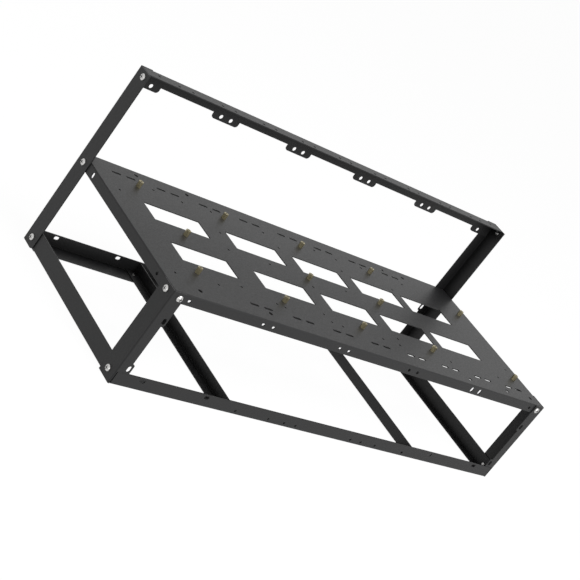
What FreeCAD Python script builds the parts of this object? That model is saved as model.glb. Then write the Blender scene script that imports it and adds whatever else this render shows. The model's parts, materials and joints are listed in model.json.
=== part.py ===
import FreeCAD, Part
import math
import os

Vec = FreeCAD.Vector
X_DIR = Vec(1, 0, 0)
Y_DIR = Vec(0, 1, 0)
Z_DIR = Vec(0, 0, 1)

# Open frame for a row of graphics cards, in millimetres.
# X runs along the length, Y from front to rear, Z up. The origin is on the floor, in the middle.

# Overall sizes
LENGTH = 635.5  # over the outer faces of the posts and uprights
DEPTH = 245.6  # over the outer faces of the end flanges and of the front and rear base rails
HEIGHT = 236.0  # floor to the upper face of the top rail
SHELF_TOP = 121.0  # floor to the upper face of the shelf

# Folded sheet
SHEET = 1.2
BEND_INNER = 0.3
FIT_GAP = 0.3  # room between a cut edge and the sheet beside it

# Base rails: upright leg, then lying leg
RAIL_HEIGHT = 15.7
RAIL_FLANGE = 24.8
RAIL_END_GAP = 1.5  # from the end of a front or rear rail to the side flange beside it
LEFT_RAIL_HEIGHT = 22.0
RIGHT_RAIL_HEIGHT = 19.3
SIDE_RAIL_FLANGE = 12.0
CROSS_RAIL_HEIGHT = 13.8
CROSS_RAIL_FLANGE = 15.0
LEFT_CROSS_RAIL_X = -156.5  # outer face of the upright leg
RIGHT_CROSS_RAIL_X = 153.5

# Slots and holes of the front and rear base rails, as distances from the middle and from the floor
RAIL_SLOT_PLACES = (190.0, 280.0)
RAIL_SLOT_LEVEL = 11.8
RAIL_SLOT_LENGTH = 7.0
RAIL_SLOT_WIDTH = 4.4
SUPPLY_HOLE_PLACES = (47.0, 65.5, 91.0, 142.0)
SUPPLY_HOLE_LEVEL = 5.0
SUPPLY_HOLE_DIAMETER = 3.2

# Posts and uprights
SIDE_FLANGE = 23.5
END_FLANGE = 16.5
UPRIGHT_FOOT_RADIUS = 5.0
EAR_LEVELS = (21.8, 85.0)
EAR_HALF = 6.5
EAR_REACH = 3.5
EAR_RADIUS = 2.5
EAR_SLOT_SET = 12.5  # from the outer face to the middle of the slot
EAR_SLOT_LENGTH = 7.4
EAR_SLOT_WIDTH = 4.6

# Shelf
SKIRT = 12.3
WINDOW_LENGTH = 81.8
WINDOW_DEPTH = 31.8
WINDOW_ROW_SPAN = 71.6
WINDOW_CENTRES = (-226.5, -104.0, 5.5, 111.0, 208.5)
SKIRT_SLOT_LENGTH = 6.8
SKIRT_SLOT_WIDTH = 4.0
SIDE_SLOT_SET = 36.0  # from the rear edge
SIDE_HOLE_SET = 36.0  # from the front edge
SLOTTED_GAP = 4  # gap between fans, counted from the left, where the front skirt has slots
EDGE_HOLE_DIAMETER = 5.4
REAR_EDGE_HOLES = ((-247.0, 10.6), (-170.5, 10.6), (175.0, 13.6), (216.5, 14.6))  # X, distance from the edge
FRONT_EDGE_HOLES = ((-274.0, 15.6), (-172.0, 15.6), (173.5, 12.2), (250.0, 12.2), (299.5, 12.2))
SPARE_HOLE_DIAMETER = 3.2
SPARE_HOLE_ROWS = {
    90.0: (-232.5, -144.5, 31.5, 119.5),
    86.5: (-191.5, -61.0, 69.5, 199.0),
    60.0: (-296.5, -51.5, 61.0, 158.5),
    44.0: (-157.0,),
    9.0: (-165.0, -99.5, 31.5),
    -10.0: (-39.5,),
    -54.5: (297.5,),
    -68.0: (-192.0, -62.0, 68.0),
    -80.0: (-233.0, -145.5, -57.0, 32.0),
    -82.0: (-134.0, -40.0, 61.0, 159.0, 256.0),
    -84.5: (-296.5,),
}

# Fan pattern, shared by the skirts of the shelf and the tabs of the top rail
FAN_PITCH = 120.0
FAN_HOLE_SPAN = 105.0
FAN_HOLE_DIAMETER = 4.3
FAN_END_ROOM = 15.0

# Card pattern, shared by the shelf and the top rail
CARD_PITCH = 65.0
CARD_PAIR_SPAN = 20.3
SHELF_PAIR_SPAN = 20.8
CARD_END_ROOM = 20.0
CARD_SLOT_LENGTH = 13.3
CARD_SLOT_WIDTH = 3.7
REAR_SLOT_SET = 23.0  # from the rear edge of the shelf
REAR_SLOT_SHIFT = -11.3
FRONT_SLOT_SET = 24.1  # from the front edge of the shelf
FRONT_SLOT_SHIFT = 14.4

# Top rail
TOP_DEPTH = 18.0
TOP_DROP = 14.3
TAB_DROP = 21.5
TAB_MARGIN = 12.5  # from a fan hole to the end of its tab
TAB_RADIUS = 4.0
TAB_HOLE_DROP = 16.5
TAB_HOLE_DIAMETER = 5.3
TOP_END_DROP = 13.0
BRACKET_HOLE_DIAMETER = 3.4
BRACKET_HOLE_SET = 5.0  # from the front edge
END_HOLE_SET = 21.0  # from the outer face of an upright

# Screws through the posts and uprights
SCREW_DIAMETER = 3.9
SCREW_HEAD_DIAMETER = 7.6
SCREW_HEAD_HEIGHT = 2.4
SCREW_HEAD_EDGE = 0.9  # height of the straight rim
PAN_SHOULDER = (0.75, 0.65)  # point on the head's curve, as shares of its radius and rise
SCREW_TAIL = 2.0  # length beyond the inner sheet
SCREW_HOLE_GAP = 0.5
TAPPED_GAP = 0.1
SCREW_SET = 12.6  # from the corner fold, on a side flange
TOP_SCREW_SET = 14.8  # the same at the top rail
END_SCREW_SET = 10.8  # from the outer face, on an end flange
SCREW_LOW = 10.0
SCREW_DROP = 6.5  # below the upper face of the shelf or top rail
RECESS_SPAN = 4.2
RECESS_WIDTH = 1.0
RECESS_DEPTH = 1.3

# Countersunk screws of the base
BASE_SCREW_DIAMETER = 2.9
BASE_SCREW_TAIL = 1.2
BASE_SCREW_SINK = 0.1
BASE_SCREW_SET = 10.8  # from the outer face of the front or rear rail
BASE_RECESS_SPAN = 2.8
BASE_RECESS_WIDTH = 0.7
BASE_RECESS_DEPTH = 0.9

# Standoffs
STANDOFF_HEIGHT = 7.0
STANDOFF_FLATS = 5.5
STANDOFF_BORE = 2.6
STANDOFF_BORE_DEPTH = 5.5
STUD_DIAMETER = 2.9
STUD_TAIL = 3.0
STANDOFF_PITCH = 129.8
STANDOFF_END_ROOM = 100.0
ROW_START = 60.0  # from the left outer face
REAR_ROW_SET = 36.8  # from the rear edge of the shelf
FRONT_ROW_SET = 52.0  # from the front edge of the shelf
MIDDLE_ROW_STARTS = (86.5, 281.0, 409.0)
MIDDLE_ROW_OFFSET = 6.6
EDGE_COLUMN_SET = 22.5  # from the right outer face
EDGE_COLUMN_SETS = (47.8, 64.6)  # from the front edge and from the rear edge

# Planes that the sheets share, from the outside in
OUTER_X = LENGTH / 2
INNER_X = OUTER_X - SHEET
POST_Y = DEPTH / 2
SHELF_Y = POST_Y - SHEET
BEND_OUTER = BEND_INNER + SHEET
REACH = 2 * SHEET
SKIRT_HOLE_LEVEL = SHELF_TOP - SCREW_DROP
LEFT_CROSS_SCREW_X = LEFT_CROSS_RAIL_X - (CROSS_RAIL_FLANGE + SHEET) / 2
RIGHT_CROSS_SCREW_X = RIGHT_CROSS_RAIL_X + (CROSS_RAIL_FLANGE + SHEET) / 2
SIDE_RAIL_SCREW_X = INNER_X - (SIDE_RAIL_FLANGE + SHEET) / 2
BASE_SCREW_Y = POST_Y - BASE_SCREW_SET


def block(low, high):
    """Box between two corners, given as (x, y, z) in any order."""
    start = Vec(*[min(pair) for pair in zip(low, high)])
    sides = [abs(a - b) for a, b in zip(low, high)]
    return Part.makeBox(sides[0], sides[1], sides[2], start)


def prism(edges, run):
    """Solid made by sweeping a closed flat outline along a straight run."""
    solid = Part.Face(Part.Wire(edges)).extrude(run)
    if solid.Volume < 0:
        solid.reverse()
    return solid


def line(start, end):
    return Part.LineSegment(start, end).toShape()


def arc(start, middle, end):
    return Part.Arc(start, middle, end).toShape()


def folded_angle(corner, leg_a, leg_b, run):
    """Sheet bent once: two legs that start at an outer corner, swept along that corner."""
    a_dir = Vec(leg_a).normalize()
    b_dir = Vec(leg_b).normalize()

    def at(a, b):
        return corner + a_dir * a + b_dir * b

    outer_mid = BEND_OUTER * (1 - math.sqrt(0.5))
    inner_mid = BEND_OUTER - BEND_INNER * math.sqrt(0.5)
    edges = [
        line(at(leg_a.Length, 0), at(BEND_OUTER, 0)),
        arc(at(BEND_OUTER, 0), at(outer_mid, outer_mid), at(0, BEND_OUTER)),
        line(at(0, BEND_OUTER), at(0, leg_b.Length)),
        line(at(0, leg_b.Length), at(SHEET, leg_b.Length)),
        line(at(SHEET, leg_b.Length), at(SHEET, BEND_OUTER)),
        arc(at(SHEET, BEND_OUTER), at(inner_mid, inner_mid), at(BEND_OUTER, SHEET)),
        line(at(BEND_OUTER, SHEET), at(leg_a.Length, SHEET)),
        line(at(leg_a.Length, SHEET), at(leg_a.Length, 0)),
    ]
    return prism(edges, run)


def bore(centre, axis, diameter):
    """Round cutter through one sheet at the given point."""
    return Part.makeCylinder(diameter / 2, 2 * REACH, centre - axis * REACH, axis)


def slot(centre, axis, along, length, width):
    """Cutter with round ends through one sheet at the given point."""
    radius = width / 2
    half = length / 2 - radius
    across = axis.cross(along)
    start = centre - axis * REACH

    def at(a, b):
        return start + along * a + across * b

    edges = [
        line(at(half, radius), at(-half, radius)),
        arc(at(-half, radius), at(-half - radius, 0), at(-half, -radius)),
        line(at(-half, -radius), at(half, -radius)),
        arc(at(half, -radius), at(half + radius, 0), at(half, radius)),
    ]
    return prism(edges, axis * (2 * REACH))


def round_corners(shape, axis, places, radius):
    """Rounds the edges that run along an axis through the given places."""
    chosen = []
    for edge in shape.Edges:
        ends = edge.Vertexes
        if len(ends) != 2 or (ends[1].Point - ends[0].Point).cross(axis).Length > 1e-6:
            continue
        for place in places:
            if (edge.CenterOfMass - place).cross(axis).Length < 1e-3:
                chosen.append(edge)
    return shape.makeFillet(radius, chosen)


def cut_all(shape, cutters):
    return shape.cut(Part.makeCompound(cutters))


def mirrored(shape):
    """The same piece on the other side of the frame."""
    return shape.mirror(Vec(0, 0, 0), X_DIR)


def fan_places():
    """X of each fan screw, in pairs that belong to one fan."""
    count = int((LENGTH - 2 * FAN_END_ROOM) // FAN_PITCH)
    middles = [FAN_PITCH * (i - (count - 1) / 2) for i in range(count)]
    return [(m - FAN_HOLE_SPAN / 2, m + FAN_HOLE_SPAN / 2) for m in middles]


def card_middles():
    """X of the middle of each card's pair of holes."""
    count = int((LENGTH - 2 * CARD_END_ROOM) // CARD_PITCH)
    return [CARD_PITCH * (i - (count - 1) / 2) for i in range(count)]


def pair_places(middles, span, shift=0):
    return [m + shift + side * span / 2 for m in middles for side in (-1, 1)]


def post_screw_places():
    """Screws of the left front post's side flange."""
    y = -POST_Y + SCREW_SET
    return [Vec(-OUTER_X, y, z) for z in (SCREW_LOW, SKIRT_HOLE_LEVEL)]


def upright_screw_places():
    """Screws of the left rear upright's side flange."""
    places = [(SCREW_SET, SCREW_LOW), (SCREW_SET, SKIRT_HOLE_LEVEL), (TOP_SCREW_SET, HEIGHT - SCREW_DROP)]
    return [Vec(-OUTER_X, POST_Y - inset, z) for inset, z in places]


def side_bores(places, diameter):
    return [bore(place, X_DIR, diameter) for place in places]


def end_screw_place(x_side, y_side):
    """Screw of a post's front flange or an upright's rear flange."""
    return Vec(x_side * (OUTER_X - END_SCREW_SET), y_side * POST_Y, SKIRT_HOLE_LEVEL)


def base_screw_places(y_side):
    spots = (-SIDE_RAIL_SCREW_X, LEFT_CROSS_SCREW_X, RIGHT_CROSS_SCREW_X, SIDE_RAIL_SCREW_X)
    return [Vec(x, y_side * BASE_SCREW_Y, 0) for x in spots]


def countersink(place):
    """Cone through the lying leg of a base rail."""
    narrow = (BASE_SCREW_DIAMETER + TAPPED_GAP) / 2
    return Part.makeCone(narrow + SHEET, narrow, SHEET, place, Z_DIR)


def base_end_rail(y_side):
    """Front (-1) or rear (+1) rail of the base, between the side flanges and flush with the end flanges."""
    half_run = INNER_X - RAIL_END_GAP
    corner = Vec(-half_run, y_side * POST_Y, 0)
    lying = Vec(0, -y_side * RAIL_FLANGE, 0)
    rail = folded_angle(corner, Vec(0, 0, RAIL_HEIGHT), lying, X_DIR * (2 * half_run))
    cutters = [countersink(place) for place in base_screw_places(y_side)]
    for side in (-1, 1):
        for x in RAIL_SLOT_PLACES:
            centre = Vec(side * x, y_side * POST_Y, RAIL_SLOT_LEVEL)
            cutters.append(slot(centre, Y_DIR, X_DIR, RAIL_SLOT_LENGTH, RAIL_SLOT_WIDTH))
    return cut_all(rail, cutters)


def base_front_rail():
    rail = base_end_rail(-1)
    cutters = []
    for x in SUPPLY_HOLE_PLACES:
        for side in (-1, 1):
            centre = Vec(side * x, -POST_Y, SUPPLY_HOLE_LEVEL)
            cutters.append(bore(centre, Y_DIR, SUPPLY_HOLE_DIAMETER))
    return cut_all(rail, cutters)


def base_side_rail(height):
    """Left side rail: lies on the front and rear rails, inside the post and the upright."""
    half_run = SHELF_Y - BEND_INNER - FIT_GAP
    corner = Vec(-INNER_X, -half_run, SHEET)
    rail = folded_angle(corner, Z_DIR * height, X_DIR * SIDE_RAIL_FLANGE, Y_DIR * (2 * half_run))
    tapped = SCREW_DIAMETER + TAPPED_GAP
    places = [p for p in post_screw_places() + upright_screw_places() if p.z == SCREW_LOW]
    cutters = side_bores(places, tapped)
    for y in (-BASE_SCREW_Y, BASE_SCREW_Y):
        cutters.append(bore(Vec(-SIDE_RAIL_SCREW_X, y, SHEET), Z_DIR, BASE_SCREW_DIAMETER + TAPPED_GAP))
    return cut_all(rail, cutters)


def cross_rail(x, outward, screw_x):
    """Cross rail: upright leg towards the middle, lying leg on the front and rear rails."""
    half_run = SHELF_Y - BEND_INNER - FIT_GAP
    corner = Vec(x, -half_run, SHEET)
    lying = X_DIR * (outward * CROSS_RAIL_FLANGE)
    rail = folded_angle(corner, Z_DIR * CROSS_RAIL_HEIGHT, lying, Y_DIR * (2 * half_run))
    tapped = BASE_SCREW_DIAMETER + TAPPED_GAP
    places = [Vec(screw_x, y, SHEET) for y in (-BASE_SCREW_Y, BASE_SCREW_Y)]
    return cut_all(rail, [bore(place, Z_DIR, tapped) for place in places])


def corner_angle(y_side, height):
    """Left post or upright: side flange to the left, end flange that stops above the base rail."""
    corner = Vec(-OUTER_X, y_side * POST_Y, 0)
    side_leg = Vec(0, -y_side * SIDE_FLANGE, 0)
    angle = folded_angle(corner, side_leg, X_DIR * END_FLANGE, Z_DIR * height)
    lift = RAIL_HEIGHT + FIT_GAP
    low = (-INNER_X, y_side * (POST_Y + REACH), -REACH)
    high = (-OUTER_X + END_FLANGE + REACH, y_side * (SHELF_Y - BEND_INNER - FIT_GAP), lift)
    return angle.cut(block(low, high))


def front_left_post():
    post = corner_angle(-1, SHELF_TOP)
    edge_x = -OUTER_X + END_FLANGE
    relief_low = EAR_LEVELS[0] + EAR_HALF
    relief_high = EAR_LEVELS[1] - EAR_HALF
    front = -POST_Y - REACH
    back = -SHELF_Y + REACH
    post = post.cut(block((edge_x - EAR_REACH, front, relief_low), (edge_x + REACH, back, relief_high)))
    ear_tips = [Vec(edge_x, 0, z) for z in (relief_low, relief_high)]
    post = round_corners(post, Y_DIR, ear_tips, EAR_RADIUS)
    clear = SCREW_DIAMETER + SCREW_HOLE_GAP
    cutters = side_bores(post_screw_places(), clear)
    cutters.append(bore(end_screw_place(-1, -1), Y_DIR, clear))
    for level in EAR_LEVELS:
        centre = Vec(-OUTER_X + EAR_SLOT_SET, -POST_Y, level)
        cutters.append(slot(centre, Y_DIR, Z_DIR, EAR_SLOT_LENGTH, EAR_SLOT_WIDTH))
    return cut_all(post, cutters)


def rear_left_upright():
    upright = corner_angle(1, HEIGHT)
    foot = Vec(-OUTER_X, POST_Y - SIDE_FLANGE, 0)
    upright = round_corners(upright, X_DIR, [foot], UPRIGHT_FOOT_RADIUS)
    clear = SCREW_DIAMETER + SCREW_HOLE_GAP
    cutters = side_bores(upright_screw_places(), clear)
    cutters.append(bore(end_screw_place(-1, 1), Y_DIR, clear))
    return cut_all(upright, cutters)


def shelf_blank():
    """Tray folded down on its four sides, with a square relief at each corner."""
    flat_x = INNER_X - BEND_OUTER
    flat_y = SHELF_Y - BEND_OUTER
    down = Z_DIR * -SKIRT
    tray = block((-flat_x, -flat_y, SHELF_TOP - SHEET), (flat_x, flat_y, SHELF_TOP))
    for side in (-1, 1):
        end_corner = Vec(-flat_x, side * SHELF_Y, SHELF_TOP)
        end_leg = Y_DIR * (-side * 2 * BEND_OUTER)
        side_corner = Vec(side * INNER_X, -flat_y, SHELF_TOP)
        side_leg = X_DIR * (-side * 2 * BEND_OUTER)
        tray = tray.fuse(folded_angle(end_corner, down, end_leg, X_DIR * (2 * flat_x)))
        tray = tray.fuse(folded_angle(side_corner, down, side_leg, Y_DIR * (2 * flat_y)))
    return tray.removeSplitter()


def window_cutters():
    cutters = []
    half_x = WINDOW_LENGTH / 2
    half_y = WINDOW_DEPTH / 2
    for x in WINDOW_CENTRES:
        for y in (-WINDOW_ROW_SPAN / 2, WINDOW_ROW_SPAN / 2):
            low = (x - half_x, y - half_y, SHELF_TOP - REACH)
            high = (x + half_x, y + half_y, SHELF_TOP + REACH)
            cutters.append(block(low, high))
    return cutters


def shelf_top_cutters():
    """Card slots, edge holes, spare board holes and the tapped holes of the standoffs."""
    middles = card_middles()
    rear_y = SHELF_Y - REAR_SLOT_SET
    front_y = -SHELF_Y + FRONT_SLOT_SET
    slots = [(x, rear_y) for x in pair_places(middles[:-1], SHELF_PAIR_SPAN, REAR_SLOT_SHIFT)]
    slots += [(x, front_y) for x in pair_places(middles[1:], SHELF_PAIR_SPAN, FRONT_SLOT_SHIFT)]
    holes = [(x, SHELF_Y - inset, EDGE_HOLE_DIAMETER) for x, inset in REAR_EDGE_HOLES]
    holes += [(x, -SHELF_Y + inset, EDGE_HOLE_DIAMETER) for x, inset in FRONT_EDGE_HOLES]
    holes += [(x, y, SPARE_HOLE_DIAMETER) for y, row in SPARE_HOLE_ROWS.items() for x in row]
    holes += [(x, y, STUD_DIAMETER + TAPPED_GAP) for row in standoff_rows().values() for x, y in row]
    cutters = [bore(Vec(x, y, SHELF_TOP), Z_DIR, diameter) for x, y, diameter in holes]
    for x, y in slots:
        cutters.append(slot(Vec(x, y, SHELF_TOP), Z_DIR, X_DIR, CARD_SLOT_LENGTH, CARD_SLOT_WIDTH))
    return cutters


def fan_hole(x, y_side, gap):
    """Hole or slot of a long skirt for one fan screw, in the given gap between fans."""
    centre = Vec(x, y_side * SHELF_Y, SKIRT_HOLE_LEVEL)
    if y_side < 0 and gap == SLOTTED_GAP:
        return slot(centre, Y_DIR, Z_DIR, SKIRT_SLOT_LENGTH, FAN_HOLE_DIAMETER)
    return bore(centre, Y_DIR, FAN_HOLE_DIAMETER)


def shelf_skirt_cutters():
    """Fan holes in the long skirts, a hole and a slot in the short ones, tapped holes in all four."""
    tapped = SCREW_DIAMETER + TAPPED_GAP
    cutters = []
    for y_side in (-1, 1):
        for fan, pair in enumerate(fan_places()):
            for step, x in enumerate(pair):
                cutters.append(fan_hole(x, y_side, fan + step))
        for x_side in (-1, 1):
            cutters.append(bore(end_screw_place(x_side, y_side), Y_DIR, tapped))
    for x_side in (-1, 1):
        side_hole = Vec(x_side * INNER_X, -SHELF_Y + SIDE_HOLE_SET, SKIRT_HOLE_LEVEL)
        cutters.append(bore(side_hole, X_DIR, FAN_HOLE_DIAMETER))
        side_slot = Vec(x_side * INNER_X, SHELF_Y - SIDE_SLOT_SET, SKIRT_HOLE_LEVEL)
        cutters.append(slot(side_slot, X_DIR, Z_DIR, SKIRT_SLOT_LENGTH, SKIRT_SLOT_WIDTH))
        for place in post_screw_places() + upright_screw_places():
            if place.z == SKIRT_HOLE_LEVEL:
                cutters.append(bore(Vec(x_side * OUTER_X, place.y, place.z), X_DIR, tapped))
    return cutters


def shelf():
    return cut_all(shelf_blank(), window_cutters() + shelf_top_cutters() + shelf_skirt_cutters())


def tab_spans():
    """Left and right end of each tab of the top rail: half tabs at the ends, whole ones between fans."""
    fans = fan_places()
    spans = [(-INNER_X + BEND_OUTER, fans[0][0] + TAB_MARGIN)]
    for left, right in zip(fans, fans[1:]):
        spans.append((left[1] - TAB_MARGIN, right[0] + TAB_MARGIN))
    spans.append((fans[-1][1] - TAB_MARGIN, INNER_X - BEND_OUTER))
    return spans


def top_rail():
    """Rear angle between the uprights, with fan tabs below and an end flange at each upright."""
    flat_x = INNER_X - BEND_OUTER
    rear_face = SHELF_Y
    front_edge = SHELF_Y - TOP_DEPTH
    corner = Vec(-flat_x, rear_face, HEIGHT)
    rail = folded_angle(corner, Z_DIR * -TOP_DROP, Y_DIR * -TOP_DEPTH, X_DIR * (2 * flat_x))
    for start, end in tab_spans():
        low = (start, rear_face - SHEET, HEIGHT - TAB_DROP)
        tab = block(low, (end, rear_face, HEIGHT - BEND_OUTER))
        corners = [Vec(x, 0, HEIGHT - TAB_DROP) for x in (start, end)]
        rail = rail.fuse(round_corners(tab, Y_DIR, corners, TAB_RADIUS))
    end_run = Y_DIR * (TOP_DEPTH - BEND_OUTER - FIT_GAP)
    for side in (-1, 1):
        end_corner = Vec(side * INNER_X, front_edge, HEIGHT)
        inward = X_DIR * (-side * 2 * BEND_OUTER)
        rail = rail.fuse(folded_angle(end_corner, Z_DIR * -TOP_END_DROP, inward, end_run))
    return cut_all(rail.removeSplitter(), top_rail_cutters(front_edge, rear_face))


def top_rail_cutters(front_edge, rear_face):
    cutters = []
    for pair in fan_places():
        for x in pair:
            centre = Vec(x, rear_face, HEIGHT - TAB_HOLE_DROP)
            cutters.append(bore(centre, Y_DIR, TAB_HOLE_DIAMETER))
    hole_y = front_edge + BRACKET_HOLE_SET
    for x in pair_places(card_middles(), CARD_PAIR_SPAN):
        cutters.append(bore(Vec(x, hole_y, HEIGHT), Z_DIR, BRACKET_HOLE_DIAMETER))
    for side in (-1, 1):
        end_hole = Vec(side * (OUTER_X - END_HOLE_SET), rear_face - TOP_DEPTH / 2, HEIGHT)
        cutters.append(bore(end_hole, Z_DIR, BRACKET_HOLE_DIAMETER))
        top_screw = upright_screw_places()[-1]
        centre = Vec(side * OUTER_X, top_screw.y, top_screw.z)
        cutters.append(bore(centre, X_DIR, SCREW_DIAMETER + TAPPED_GAP))
    return cutters


def cross_recess(span, width, depth, top):
    """Cross-shaped cutter that reaches down from a screw's top face."""
    long_half = span / 2
    short_half = width / 2
    floor = top - depth
    first = block((-long_half, -short_half, floor), (long_half, short_half, top + depth))
    second = block((-short_half, -long_half, floor), (short_half, long_half, top + depth))
    return first.fuse(second)


def turned(outline):
    """Solid of revolution about Z from a closed outline of edges in the XZ plane."""
    return Part.Face(Part.Wire(outline)).revolve(Vec(0, 0, 0), Z_DIR, 360)


def pan_screw():
    """Screw with its head above z = 0 and its shank below, through two sheets."""
    shank = SCREW_DIAMETER / 2
    rim = SCREW_HEAD_DIAMETER / 2
    tail = -(2 * SHEET + SCREW_TAIL)
    crown = Vec(0, 0, SCREW_HEAD_HEIGHT)
    edge = Vec(rim, 0, SCREW_HEAD_EDGE)
    rise = SCREW_HEAD_HEIGHT - SCREW_HEAD_EDGE
    shoulder = Vec(rim * PAN_SHOULDER[0], 0, SCREW_HEAD_EDGE + rise * PAN_SHOULDER[1])
    outline = [
        line(Vec(0, 0, tail), Vec(shank, 0, tail)),
        line(Vec(shank, 0, tail), Vec(shank, 0, 0)),
        line(Vec(shank, 0, 0), Vec(rim, 0, 0)),
        line(Vec(rim, 0, 0), edge),
        arc(edge, shoulder, crown),
        line(crown, Vec(0, 0, tail)),
    ]
    return turned(outline).cut(cross_recess(RECESS_SPAN, RECESS_WIDTH, RECESS_DEPTH, SCREW_HEAD_HEIGHT))


def base_screw():
    """Countersunk screw with its flat head at z = 0 and its shank below."""
    shank = BASE_SCREW_DIAMETER / 2
    cone = SHEET - BASE_SCREW_SINK
    tail = -(2 * SHEET - BASE_SCREW_SINK + BASE_SCREW_TAIL)
    outline = [
        line(Vec(0, 0, tail), Vec(shank, 0, tail)),
        line(Vec(shank, 0, tail), Vec(shank, 0, -cone)),
        line(Vec(shank, 0, -cone), Vec(shank + cone, 0, 0)),
        line(Vec(shank + cone, 0, 0), Vec(0, 0, 0)),
        line(Vec(0, 0, 0), Vec(0, 0, tail)),
    ]
    return turned(outline).cut(cross_recess(BASE_RECESS_SPAN, BASE_RECESS_WIDTH, BASE_RECESS_DEPTH, 0))


def placed(shape, point, direction):
    """Copy of a screw with its head at a point, facing a direction."""
    copy = shape.copy()
    copy.Placement = FreeCAD.Placement(point, FreeCAD.Rotation(Z_DIR, direction))
    return copy


def side_screws(places):
    screw = pan_screw()
    return Part.makeCompound([placed(screw, place, X_DIR * -1) for place in places])


def end_screws(y_side):
    screw = pan_screw()
    return Part.makeCompound([placed(screw, end_screw_place(x, y_side), Y_DIR * y_side) for x in (-1, 1)])


def base_screws(y_side):
    screw = base_screw()
    lift = Z_DIR * BASE_SCREW_SINK
    return Part.makeCompound([placed(screw, p + lift, Z_DIR * -1) for p in base_screw_places(y_side)])


def standoff_rows():
    """X and Y of every standoff, row by row."""
    count = int((LENGTH - ROW_START - STANDOFF_END_ROOM) // STANDOFF_PITCH) + 1
    row = [ROW_START + STANDOFF_PITCH * i - OUTER_X for i in range(count)]
    edge_x = OUTER_X - EDGE_COLUMN_SET
    return {
        "rear": [(x, SHELF_Y - REAR_ROW_SET) for x in row],
        "middle": [(start - OUTER_X, MIDDLE_ROW_OFFSET) for start in MIDDLE_ROW_STARTS],
        "front": [(x, -SHELF_Y + FRONT_ROW_SET) for x in row],
        "edge": [(edge_x, -SHELF_Y + EDGE_COLUMN_SETS[0]), (edge_x, SHELF_Y - EDGE_COLUMN_SETS[1])],
    }


def standoff(x, y):
    """Hexagonal standoff with a blind bore above and a stud through the shelf below."""
    base = Vec(x, y, SHELF_TOP)
    corner = STANDOFF_FLATS / math.sqrt(3)
    angles = [math.radians(60 * i) for i in range(7)]
    outline = [base + Vec(corner * math.cos(a), corner * math.sin(a), 0) for a in angles]
    edges = [line(start, end) for start, end in zip(outline, outline[1:])]
    body = prism(edges, Z_DIR * STANDOFF_HEIGHT)
    stud_length = SHEET + STUD_TAIL
    stud = Part.makeCylinder(STUD_DIAMETER / 2, stud_length, base - Z_DIR * stud_length)
    bore_floor = base + Z_DIR * (STANDOFF_HEIGHT - STANDOFF_BORE_DEPTH)
    hole = Part.makeCylinder(STANDOFF_BORE / 2, STANDOFF_BORE_DEPTH, bore_floor)
    return body.fuse(stud).cut(hole)


def all_parts():
    """Every piece by the name of its node."""
    post = front_left_post()
    upright = rear_left_upright()
    post_screws = side_screws(post_screw_places())
    upright_screws = side_screws(upright_screw_places())
    parts = {
        "base_front_rail": base_front_rail(),
        "base_rear_rail": base_end_rail(1),
        "base_left_rail": base_side_rail(LEFT_RAIL_HEIGHT),
        "base_right_rail": mirrored(base_side_rail(RIGHT_RAIL_HEIGHT)),
        "left_cross_rail": cross_rail(LEFT_CROSS_RAIL_X, -1, LEFT_CROSS_SCREW_X),
        "right_cross_rail": cross_rail(RIGHT_CROSS_RAIL_X, 1, RIGHT_CROSS_SCREW_X),
        "front_left_post": post,
        "front_right_post": mirrored(post),
        "rear_left_upright": upright,
        "rear_right_upright": mirrored(upright),
        "shelf": shelf(),
        "top_rail": top_rail(),
        "left_post_screws": post_screws,
        "right_post_screws": mirrored(post_screws),
        "left_upright_screws": upright_screws,
        "right_upright_screws": mirrored(upright_screws),
        "front_flange_screws": end_screws(-1),
        "rear_flange_screws": end_screws(1),
        "base_front_screws": base_screws(-1),
        "base_rear_screws": base_screws(1),
    }
    for row, places in standoff_rows().items():
        for number, (x, y) in enumerate(places, start=1):
            parts[f"standoff_{row}_{number}"] = standoff(x, y)
    return parts


os.makedirs("parts", exist_ok=True)
for name, shape in all_parts().items():
    shape.exportStep(f"parts/{name}.step")
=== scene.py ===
import json
import math

import bmesh
import bpy
from mathutils import Matrix, Vector

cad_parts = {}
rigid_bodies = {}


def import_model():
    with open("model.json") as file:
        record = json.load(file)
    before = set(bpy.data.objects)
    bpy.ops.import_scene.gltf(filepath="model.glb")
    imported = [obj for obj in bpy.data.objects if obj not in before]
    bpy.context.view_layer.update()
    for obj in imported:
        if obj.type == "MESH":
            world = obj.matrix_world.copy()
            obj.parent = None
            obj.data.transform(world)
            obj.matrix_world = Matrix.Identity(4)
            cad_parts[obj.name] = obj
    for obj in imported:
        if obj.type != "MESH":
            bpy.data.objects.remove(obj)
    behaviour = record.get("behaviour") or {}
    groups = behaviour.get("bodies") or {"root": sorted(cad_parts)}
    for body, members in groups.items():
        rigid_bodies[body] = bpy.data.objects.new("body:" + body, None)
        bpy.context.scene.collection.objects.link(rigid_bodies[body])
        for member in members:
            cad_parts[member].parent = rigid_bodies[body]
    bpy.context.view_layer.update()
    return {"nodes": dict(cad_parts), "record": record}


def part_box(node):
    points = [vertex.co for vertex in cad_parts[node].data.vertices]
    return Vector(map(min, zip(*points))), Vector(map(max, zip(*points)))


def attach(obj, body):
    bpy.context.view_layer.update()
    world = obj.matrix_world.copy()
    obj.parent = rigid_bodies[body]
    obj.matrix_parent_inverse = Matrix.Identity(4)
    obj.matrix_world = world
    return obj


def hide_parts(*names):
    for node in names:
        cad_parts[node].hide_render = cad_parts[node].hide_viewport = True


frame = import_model()

MM = 0.001

# Camera: where it stands, where it looks and which way is up in the picture, in the object's frame
CAMERA_PLACE = Vector((-1262.4, -1120.4, 641.2)) * MM
CAMERA_FORWARD = Vector((0.69624, 0.64706, -0.31075))
CAMERA_UP = Vector((-0.23237, 0.61278, 0.75532))
CAMERA_LENS = 93.99
CAMERA_SENSOR = 36.0
CAMERA_SIGHT = 100.0

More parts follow.
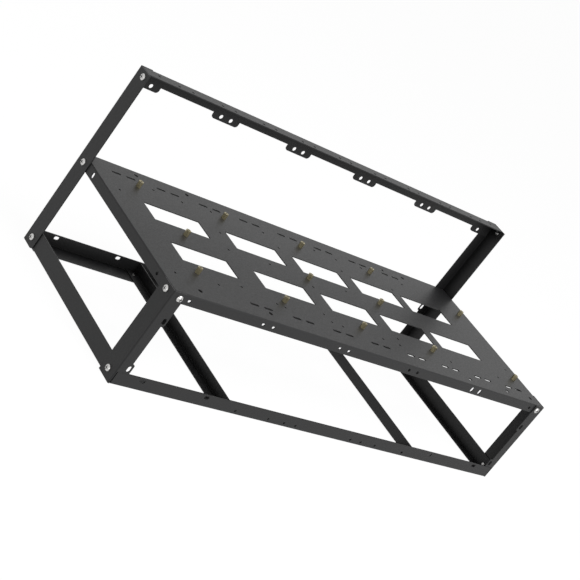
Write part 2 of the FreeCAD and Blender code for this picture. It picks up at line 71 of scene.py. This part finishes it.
# Studio lamps: azimuth and elevation of each lamp seen from the object, distance, side and power
LAMP_AIM = Vector((0.0, 0.0, 120.0)) * MM
LAMPS = {
    "front_lamp": (8.0, 55.0, 2.2, 1.4, 23.5),
    "low_lamp": (0.0, 10.0, 2.2, 0.6, 13.0),
    "fill_lamp": (-48.0, 8.0, 2.2, 0.6, 4.5),
}
AMBIENT = 0.08

# Floor: the shadow shows in the share of its light that isn't its own glow
FLOOR_SIDE = 24.0
FLOOR_DROP = 0.2 * MM
FLOOR_GLOW = 0.97
FLOOR_WHITE = 0.10
FLOOR_BOUNCE = 0.30

# Powder coat: cloudy shade, speckled roughness, painted shade that darkens colour and shine in nooks,
# rounded edges and fine peel
COAT_COLOUR = (0.016, 0.016, 0.0165)
COAT_CLOUD_SIZE = 45 * MM
COAT_CLOUD_SHARES = (0.94, 1.06)
COAT_ROUGHNESS = 0.47
COAT_ROUGHNESS_SPREAD = 0.05
COAT_SPECKLE_SIZE = 1.6 * MM
COAT_SPECULAR = 0.31
COAT_PAINTED_SHADE_SHARE = 0.5
COAT_PAINTED_SHADE_REACH = 60 * MM
COAT_PAINTED_SHADE_RANGE = (0.4, 0.95)
COAT_EDGE_RADIUS = 0.15 * MM
COAT_PEEL_SIZE = 0.9 * MM
COAT_PEEL_STRENGTH = 0.3
COAT_PEEL_DEPTH = 0.05 * MM

# Bare metals: patchy shade, fine grain and painted shade that darkens nooks
ZINC_COLOUR = (0.53, 0.525, 0.515)
ZINC_ROUGHNESS = 0.32
BRASS_COLOUR = (0.36, 0.32, 0.20)
BRASS_ROUGHNESS = 0.38
METAL_PATCH_SIZE = 2.5 * MM
METAL_PATCH_SHARES = (0.88, 1.08)
METAL_ROUGHNESS_SPREAD = 0.06
METAL_GRAIN_SIZE = 0.3 * MM
METAL_GRAIN_STRENGTH = 0.2
METAL_GRAIN_DEPTH = 0.008 * MM
METAL_PAINTED_SHADE_SHARE = 0.45
METAL_PAINTED_SHADE_REACH = 1.5 * MM
METAL_PAINTED_SHADE_RANGE = (0.3, 0.8)

# Noise and painted nook shade: detail of fine and of cloudy noise, the range that noise mostly keeps to,
# rays per point of the painted shade
FINE_DETAIL = 2.0
CLOUD_DETAIL = 3.0
NOISE_RANGE = (0.3, 0.7)
WHOLE_RANGE = (0.0, 1.0)
PAINTED_SHADE_SAMPLES = 8
EDGE_SAMPLES = 4

# Threads: radius of the bare shank or bore, pitch and length
COARSE_THREAD = (1.95 * MM, 0.7 * MM, 1.9 * MM)
BASE_THREAD = (1.45 * MM, 0.5 * MM, 1.1 * MM)
STUD_THREAD = (1.45 * MM, 0.5 * MM, 2.8 * MM)
BORE_THREAD = (1.3 * MM, 0.5 * MM, 4.5 * MM)
BORE_TOP_CLEAR = 0.3 * MM

# Screws of each node: the way their ends point, and their thread
SCREW_ENDS = {
    "left_post_screws": (Vector((1, 0, 0)), COARSE_THREAD),
    "left_upright_screws": (Vector((1, 0, 0)), COARSE_THREAD),
    "right_post_screws": (Vector((-1, 0, 0)), COARSE_THREAD),
    "right_upright_screws": (Vector((-1, 0, 0)), COARSE_THREAD),
    "front_flange_screws": (Vector((0, 1, 0)), COARSE_THREAD),
    "rear_flange_screws": (Vector((0, -1, 0)), COARSE_THREAD),
    "base_front_screws": (Vector((0, 0, 1)), BASE_THREAD),
    "base_rear_screws": (Vector((0, 0, 1)), BASE_THREAD),
}

# Ridge of a thread: its rise, its sunk root, half its width in pitches, the steps in a turn,
# the turns over which each end fades out, and the least share of the rise that is left there
THREAD_RISE = 0.16 * MM
THREAD_ROOT = 0.04 * MM
THREAD_HALF_WIDTH = 0.36
THREAD_STEPS = 28
THREAD_FADE = 0.5
THREAD_LEAST = 0.05

# Uprights with ears, and the way along X that their rear flanges point
EARED_NODES = {"rear_left_upright": 1, "rear_right_upright": -1}

# Ears of the rear flanges, as on the front posts: a relief between two slotted ears
EAR_LEVELS = (21.8 * MM, 85.0 * MM)
EAR_HALF = 6.5 * MM
EAR_REACH = 3.5 * MM
EAR_RADIUS = 2.5 * MM
EAR_SLOT_SET = 12.5 * MM
EAR_SLOT_LENGTH = 7.4 * MM
EAR_SLOT_WIDTH = 4.6 * MM

# Meshes: degrees in a step of an arc, room round a cut, steepest bend that looks smooth, joining distance
ARC_STEP = 10
CUT_MARGIN = 3 * MM
SHARP_ANGLE = math.radians(30)
JOIN_REACH = 0.001 * MM


def new_material(name):
    """Material with an empty node tree but for its output, and that tree's nodes and links."""
    material = bpy.data.materials.new(name)
    material.use_nodes = True
    nodes = material.node_tree.nodes
    nodes.clear()
    output = nodes.new("ShaderNodeOutputMaterial")
    return material, nodes, material.node_tree.links, output


def seen_rays(nodes, links):
    """Socket that is 1 for rays that show the background: from the camera, a mirror or a clear piece."""
    path = nodes.new("ShaderNodeLightPath")
    first = nodes.new("ShaderNodeMath")
    first.operation = "MAXIMUM"
    links.new(path.outputs["Is Camera Ray"], first.inputs[0])
    links.new(path.outputs["Is Glossy Ray"], first.inputs[1])
    both = nodes.new("ShaderNodeMath")
    both.operation = "MAXIMUM"
    links.new(first.outputs[0], both.inputs[0])
    links.new(path.outputs["Is Transmission Ray"], both.inputs[1])
    return both.outputs[0]


def noise(nodes, links, coordinates, size, detail=FINE_DETAIL):
    """Noise whose features are about the given size, in metres."""
    node = nodes.new("ShaderNodeTexNoise")
    node.inputs["Scale"].default_value = 1.0 / size
    node.inputs["Detail"].default_value = detail
    links.new(coordinates, node.inputs["Vector"])
    return node.outputs["Fac"]


def spread(nodes, links, source, source_range, new_range):
    """The source's values stretched from one range over another."""
    node = nodes.new("ShaderNodeMapRange")
    node.inputs["From Min"].default_value = source_range[0]
    node.inputs["From Max"].default_value = source_range[1]
    node.inputs["To Min"].default_value = new_range[0]
    node.inputs["To Max"].default_value = new_range[1]
    links.new(source, node.inputs["Value"])
    return node.outputs["Result"]


def around(middle, half):
    """Range with the given middle and half width."""
    return middle - half, middle + half


def scaled(colour, share):
    """The colour, darker or lighter by a share."""
    return tuple(channel * share for channel in colour)


def varied(nodes, links, factor, colour, shares):
    """The colour, varied between two shares of itself."""
    node = nodes.new("ShaderNodeMix")
    node.data_type = "RGBA"
    node.inputs["A"].default_value = (*scaled(colour, shares[0]), 1.0)
    node.inputs["B"].default_value = (*scaled(colour, shares[1]), 1.0)
    links.new(factor, node.inputs["Factor"])
    return node.outputs["Result"]


def painted_shade_occlusion(nodes, reach):
    """Painted shade mask: socket that falls from 1 in the open towards 0 where the same piece closes in
    within the reach.
    """
    node = nodes.new("ShaderNodeAmbientOcclusion")
    node.samples = PAINTED_SHADE_SAMPLES
    node.only_local = True
    node.inputs["Distance"].default_value = reach
    return node.outputs["AO"]


def with_painted_shade(nodes, links, painted_shade_mask, dark, shade):
    """The given colour in the open, and a dark colour painted into the nooks as shade."""
    node = nodes.new("ShaderNodeMix")
    node.data_type = "RGBA"
    node.inputs["A"].default_value = (*dark, 1.0)
    links.new(shade, node.inputs["B"])
    links.new(painted_shade_mask, node.inputs["Factor"])
    return node.outputs["Result"]


def bump(nodes, links, height, strength, depth):
    """Bump node for the given height."""
    node = nodes.new("ShaderNodeBump")
    node.inputs["Strength"].default_value = strength
    node.inputs["Distance"].default_value = depth
    links.new(height, node.inputs["Height"])
    return node


def powder_coat():
    """Matte black powder coat: fine orange peel, faint cloudy shade, rounded edges, and painted shade
    darkening its colour and shine in nooks.
    """
    material, nodes, links, output = new_material("powder_coat")
    place = nodes.new("ShaderNodeTexCoord").outputs["Object"]
    shader = nodes.new("ShaderNodeBsdfPrincipled")
    cloud = noise(nodes, links, place, COAT_CLOUD_SIZE, CLOUD_DETAIL)
    colour = varied(nodes, links, cloud, COAT_COLOUR, COAT_CLOUD_SHARES)
    # Painted shade: the coat's colour and shine go darker where the piece closes in on itself
    painted_shade_mask = spread(nodes, links, painted_shade_occlusion(nodes, COAT_PAINTED_SHADE_REACH), COAT_PAINTED_SHADE_RANGE, WHOLE_RANGE)
    painted_shade_colour = with_painted_shade(nodes, links, painted_shade_mask, scaled(COAT_COLOUR, COAT_PAINTED_SHADE_SHARE), colour)
    links.new(painted_shade_colour, shader.inputs["Base Color"])
    speckle = noise(nodes, links, place, COAT_SPECKLE_SIZE)
    rough = spread(nodes, links, speckle, NOISE_RANGE, around(COAT_ROUGHNESS, COAT_ROUGHNESS_SPREAD))
    links.new(rough, shader.inputs["Roughness"])
    shine_range = (COAT_PAINTED_SHADE_SHARE * COAT_SPECULAR, COAT_SPECULAR)
    shine = spread(nodes, links, painted_shade_mask, WHOLE_RANGE, shine_range)
    links.new(shine, shader.inputs["Specular IOR Level"])
    edge = nodes.new("ShaderNodeBevel")
    edge.samples = EDGE_SAMPLES
    edge.inputs["Radius"].default_value = COAT_EDGE_RADIUS
    grain = noise(nodes, links, place, COAT_PEEL_SIZE)
    peel = bump(nodes, links, grain, COAT_PEEL_STRENGTH, COAT_PEEL_DEPTH)
    links.new(edge.outputs["Normal"], peel.inputs["Normal"])
    links.new(peel.outputs["Normal"], shader.inputs["Normal"])
    links.new(shader.outputs["BSDF"], output.inputs["Surface"])
    return material


def bare_metal(name, colour, roughness):
    """Plated or turned metal with a fine uneven shine and painted shade darkening its nooks."""
    material, nodes, links, output = new_material(name)
    place = nodes.new("ShaderNodeTexCoord").outputs["Object"]
    shader = nodes.new("ShaderNodeBsdfPrincipled")
    shader.inputs["Metallic"].default_value = 1.0
    patch = noise(nodes, links, place, METAL_PATCH_SIZE, CLOUD_DETAIL)
    shade = varied(nodes, links, patch, colour, METAL_PATCH_SHARES)
    # Painted shade: the metal's colour goes darker in the piece's small recesses
    painted_shade_mask = spread(nodes, links, painted_shade_occlusion(nodes, METAL_PAINTED_SHADE_REACH), METAL_PAINTED_SHADE_RANGE, WHOLE_RANGE)
    painted_shade_colour = with_painted_shade(nodes, links, painted_shade_mask, scaled(colour, METAL_PAINTED_SHADE_SHARE), shade)
    links.new(painted_shade_colour, shader.inputs["Base Color"])
    grain = noise(nodes, links, place, METAL_GRAIN_SIZE)
    rough = spread(nodes, links, grain, NOISE_RANGE, around(roughness, METAL_ROUGHNESS_SPREAD))
    links.new(rough, shader.inputs["Roughness"])
    uneven = bump(nodes, links, grain, METAL_GRAIN_STRENGTH, METAL_GRAIN_DEPTH)
    links.new(uneven.outputs["Normal"], shader.inputs["Normal"])
    links.new(shader.outputs["BSDF"], output.inputs["Surface"])
    return material


def dress_nodes():
    """Gives every CAD node the finish of its material slot, and returns the finishes."""
    finishes = {
        "black_coat": powder_coat(),
        "zinc": bare_metal("zinc_plate", ZINC_COLOUR, ZINC_ROUGHNESS),
        "brass": bare_metal("turned_brass", BRASS_COLOUR, BRASS_ROUGHNESS),
    }
    for part in frame["record"]["subparts"]:
        slots = frame["nodes"][part["node"]].data.materials
        for index in range(len(slots)):
            slots[index] = finishes[part["material_slot"]]
    return finishes


def joined_mesh(node):
    """Copy of a node's mesh with its faces joined along their edges."""
    mesh = bmesh.new()
    mesh.from_mesh(frame["nodes"][node].data)
    bmesh.ops.remove_doubles(mesh, verts=mesh.verts, dist=JOIN_REACH)
    return mesh


def solid_boxes(node):
    """Lowest and highest corners of each separate solid in a node."""
    mesh = joined_mesh(node)
    left = set(mesh.verts)
    boxes = []
    while left:
        group = [left.pop()]
        for vert in group:
            near = {edge.other_vert(vert) for edge in vert.link_edges} & left
            left -= near
            group.extend(near)
        corners = [[pick(vert.co[axis] for vert in group) for axis in range(3)] for pick in (min, max)]
        boxes.append([Vector(corner) for corner in corners])
    mesh.free()
    return boxes


def thread_ridge(mesh, end, away, thread, rise):
    """Adds a ridge that winds back along a shank from its end, or into a bore if the rise is negative."""
    radius, pitch, length = thread
    side = away.orthogonal().normalized()
    other = away.cross(side)
    half = THREAD_HALF_WIDTH * pitch
    root = radius - math.copysign(THREAD_ROOT, rise)
    steps = round((length - 2 * half) / pitch * THREAD_STEPS)
    rows = []
    for step in range(steps + 1):
        turns = step / THREAD_STEPS
        to_end = min(step, steps - step) / THREAD_STEPS
        share = min(1.0, max(to_end / THREAD_FADE, THREAD_LEAST))
        angle = 2 * math.pi * turns
        out = side * math.cos(angle) + other * math.sin(angle)
        middle = end - away * (half + pitch * turns)
        foot = out * root
        crest = out * (root + (radius + rise - root) * share)
        section = [middle + away * half + foot, middle + crest, middle - away * half + foot]
        rows.append([mesh.verts.new(point) for point in section])
    for row, following in zip(rows, rows[1:]):
        for corner in range(3):
            beside = (corner + 1) % 3
            mesh.faces.new((row[corner], row[beside], following[beside], following[corner]))
    mesh.faces.new(rows[0][::-1])
    mesh.faces.new(rows[-1])


def thread_piece(name, ridges, finish):
    """One piece with all the ridges of a node, given as end, direction, thread and rise."""
    mesh = bmesh.new()
    for ridge in ridges:
        thread_ridge(mesh, *ridge)
    bmesh.ops.recalc_face_normals(mesh, faces=mesh.faces)
    data = bpy.data.meshes.new(name)
    mesh.to_mesh(data)
    mesh.free()
    data.materials.append(finish)
    piece = bpy.data.objects.new(name, data)
    bpy.context.scene.collection.objects.link(piece)
    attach(piece, "root")


def screw_threads(finish):
    """Threads on the bare ends of the screws."""
    for node, (away, thread) in SCREW_ENDS.items():
        ridges = []
        for low, high in solid_boxes(node):
            reach = [abs(way) * half for way, half in zip(away, (high - low) / 2)]
            end = (low + high) / 2 + away * sum(reach)
            ridges.append((end, away, thread, THREAD_RISE))
        thread_piece(node.replace("screws", "threads"), ridges, finish)


def standoff_threads(finish):
    """Threads on the stud under each standoff and in the bore above."""
    up = Vector((0, 0, 1))
    nodes = [part["node"] for part in frame["record"]["subparts"] if part["material_slot"] == "brass"]
    for node in nodes:
        low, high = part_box(node)
        middle = (Vector(low) + Vector(high)) / 2
        foot = Vector((middle.x, middle.y, low[2]))
        mouth = Vector((middle.x, middle.y, high[2] - BORE_TOP_CLEAR))
        ridges = [(foot, -up, STUD_THREAD, THREAD_RISE), (mouth, up, BORE_THREAD, -THREAD_RISE)]
        thread_piece(f"{node}_thread", ridges, finish)


def arc(centre, radius, start, end):
    """Points of an arc in the plane of a flange, from one angle to another in degrees."""
    count = abs(end - start) // ARC_STEP
    angles = [math.radians(start + (end - start) * step / count) for step in range(count + 1)]
    return [(centre[0] + radius * math.cos(a), centre[1] + radius * math.sin(a)) for a in angles]


def relief_outline(edge):
    """Cut between the ears, which have round tips, of a flange with its free edge at the given width."""
    low = EAR_LEVELS[0] + EAR_HALF
    high = EAR_LEVELS[1] - EAR_HALF
    tip = edge - EAR_RADIUS
    lower_tip = arc((tip, low - EAR_RADIUS), EAR_RADIUS, 90, 0)
    upper_tip = arc((tip, high + EAR_RADIUS), EAR_RADIUS, 0, -90)
    beyond = [(edge + CUT_MARGIN, low - EAR_RADIUS), (edge + CUT_MARGIN, high + EAR_RADIUS)]
    return [(edge - EAR_REACH, low), *lower_tip, *beyond, *upper_tip, (edge - EAR_REACH, high)]


def slot_outline(level):
    """Upright slot of an ear."""
    radius = EAR_SLOT_WIDTH / 2
    half = EAR_SLOT_LENGTH / 2 - radius
    upper_end = arc((EAR_SLOT_SET, level + half), radius, 0, 180)
    lower_end = arc((EAR_SLOT_SET, level - half), radius, 180, 360)
    return upper_end + lower_end


def ear_cutter(low, high, side):
    """Closed prisms of the relief and slots, for an upright's box and the way its rear flange points."""
    mesh = bmesh.new()
    outer_face = low[0] if side > 0 else high[0]
    outlines = [relief_outline(high[0] - low[0])] + [slot_outline(level) for level in EAR_LEVELS]
    for outline in outlines:
        ends = []
        for y in (high[1] - CUT_MARGIN, high[1] + CUT_MARGIN):
            ends.append([mesh.verts.new((outer_face + side * across, y, z)) for across, z in outline])
        first, second = ends
        for index in range(len(outline)):
            mesh.faces.new((first[index - 1], first[index], second[index], second[index - 1]))
        mesh.faces.new(first)
        mesh.faces.new(second[::-1])
    bmesh.ops.recalc_face_normals(mesh, faces=mesh.faces)
    data = bpy.data.meshes.new("ear_cutter")
    mesh.to_mesh(data)
    mesh.free()
    return bpy.data.objects.new("ear_cutter", data)


def plain_copy(name, node):
    """Mesh with a node's joined faces and nothing else on them."""
    mesh = joined_mesh(node)
    mesh.verts.index_update()
    points = [vert.co.copy() for vert in mesh.verts]
    faces = [[vert.index for vert in face.verts] for face in mesh.faces]
    mesh.free()
    data = bpy.data.meshes.new(name)
    data.from_pydata(points, [], faces)
    return data


def bake_modifiers(piece):
    """Puts the mesh that the piece's modifiers give in place of its own."""
    plain = piece.data
    shown = piece.evaluated_get(bpy.context.evaluated_depsgraph_get())
    piece.data = bpy.data.meshes.new_from_object(shown)
    piece.modifiers.clear()
    bpy.data.meshes.remove(plain)


def cut_away(piece, cutter):
    """Takes the cutter's shape out of the piece, and removes the cutter."""
    cut = piece.modifiers.new("cut", "BOOLEAN")
    cut.operation = "DIFFERENCE"
    cut.solver = "EXACT"
    cut.object = cutter
    bake_modifiers(piece)
    shape = cutter.data
    bpy.data.objects.remove(cutter)
    bpy.data.meshes.remove(shape)


def smooth_bends(piece):
    """Shades the bends smoothly, and keeps flat faces flat and sharp edges sharp."""
    piece.data.shade_smooth()
    piece.data.set_sharp_from_angle(angle=SHARP_ANGLE)
    even = piece.modifiers.new("even", "WEIGHTED_NORMAL")
    even.keep_sharp = True
    bake_modifiers(piece)


def eared_uprights(finish):
    """Stands an upright with ears in place of each plain one."""
    objects = bpy.context.scene.collection.objects
    for node, side in EARED_NODES.items():
        name = f"{node}_eared"
        piece = bpy.data.objects.new(name, plain_copy(name, node))
        cutter = ear_cutter(*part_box(node), side)
        objects.link(piece)
        objects.link(cutter)
        cut_away(piece, cutter)
        smooth_bends(piece)
        piece.data.materials.clear()
        piece.data.materials.append(finish)
        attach(piece, "root")
        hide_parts(node)


def floor_material():
    """White to the eye, with the object's shadow; a dimmer grey to the light that bounces off it."""
    material, nodes, links, output = new_material("studio_floor")
    material.cycles.emission_sampling = "NONE"
    glow = nodes.new("ShaderNodeEmission")
    glow.inputs["Strength"].default_value = FLOOR_GLOW
    paint = nodes.new("ShaderNodeBsdfDiffuse")
    paint.inputs["Color"].default_value = (FLOOR_WHITE, FLOOR_WHITE, FLOOR_WHITE, 1.0)
    shown = nodes.new("ShaderNodeAddShader")
    links.new(glow.outputs[0], shown.inputs[0])
    links.new(paint.outputs[0], shown.inputs[1])
    bounce = nodes.new("ShaderNodeBsdfDiffuse")
    bounce.inputs["Color"].default_value = (FLOOR_BOUNCE, FLOOR_BOUNCE, FLOOR_BOUNCE, 1.0)
    mix = nodes.new("ShaderNodeMixShader")
    links.new(seen_rays(nodes, links), mix.inputs[0])
    links.new(bounce.outputs[0], mix.inputs[1])
    links.new(shown.outputs[0], mix.inputs[2])
    links.new(mix.outputs[0], output.inputs["Surface"])
    return material


def studio_floor():
    """Wide floor just under the object."""
    half = FLOOR_SIDE / 2
    corners = [(-half, -half, 0), (half, -half, 0), (half, half, 0), (-half, half, 0)]
    mesh = bpy.data.meshes.new("studio_floor")
    mesh.from_pydata(corners, [], [(0, 1, 2, 3)])
    mesh.materials.append(floor_material())
    floor = bpy.data.objects.new("studio_floor", mesh)
    floor.location.z = -FLOOR_DROP
    bpy.context.scene.collection.objects.link(floor)


def studio_world():
    """White behind everything that is seen, a dim even light for everything that is lit."""
    world = bpy.data.worlds.new("studio_world")
    bpy.context.scene.world = world
    world.use_nodes = True
    nodes = world.node_tree.nodes
    links = world.node_tree.links
    nodes.clear()
    output = nodes.new("ShaderNodeOutputWorld")
    ambient = nodes.new("ShaderNodeBackground")
    ambient.inputs["Strength"].default_value = AMBIENT
    white = nodes.new("ShaderNodeBackground")
    for background in (ambient, white):
        background.inputs["Color"].default_value = (1.0, 1.0, 1.0, 1.0)
    mix = nodes.new("ShaderNodeMixShader")
    links.new(seen_rays(nodes, links), mix.inputs[0])
    links.new(ambient.outputs[0], mix.inputs[1])
    links.new(white.outputs[0], mix.inputs[2])
    links.new(mix.outputs[0], output.inputs["Surface"])


def studio_lamp(name, azimuth, elevation, distance, side, power):
    """Square soft lamp aimed at the object. Azimuth 0 is in front of it and 90 to its right."""
    data = bpy.data.lights.new(name, "AREA")
    data.size = side
    data.energy = power
    lamp = bpy.data.objects.new(name, data)
    turn = math.radians(azimuth)
    rise = math.radians(elevation)
    away = Vector((math.sin(turn) * math.cos(rise), -math.cos(turn) * math.cos(rise), math.sin(rise)))
    lamp.location = LAMP_AIM + away * distance
    lamp.rotation_mode = "QUATERNION"
    lamp.rotation_quaternion = (-away).to_track_quat("-Z", "Y")
    bpy.context.scene.collection.objects.link(lamp)


def photo_camera():
    """Camera that sees the object as the photo does, with the picture's roll."""
    data = bpy.data.cameras.new("photo_camera")
    data.sensor_width = CAMERA_SENSOR
    data.lens = CAMERA_LENS
    data.clip_end = CAMERA_SIGHT
    camera = bpy.data.objects.new("photo_camera", data)
    back = -CAMERA_FORWARD.normalized()
    right = CAMERA_UP.cross(back).normalized()
    up = back.cross(right)
    turn = Matrix((right, up, back)).transposed().to_4x4()
    camera.matrix_world = Matrix.Translation(CAMERA_PLACE) @ turn
    bpy.context.scene.collection.objects.link(camera)
    bpy.context.scene.camera = camera


finishes = dress_nodes()
screw_threads(finishes["zinc"])
standoff_threads(finishes["brass"])
eared_uprights(finishes["black_coat"])
studio_floor()
studio_world()
for lamp_name, settings in LAMPS.items():
    studio_lamp(lamp_name, *settings)
photo_camera()
bpy.context.scene.view_settings.view_transform = "Standard"
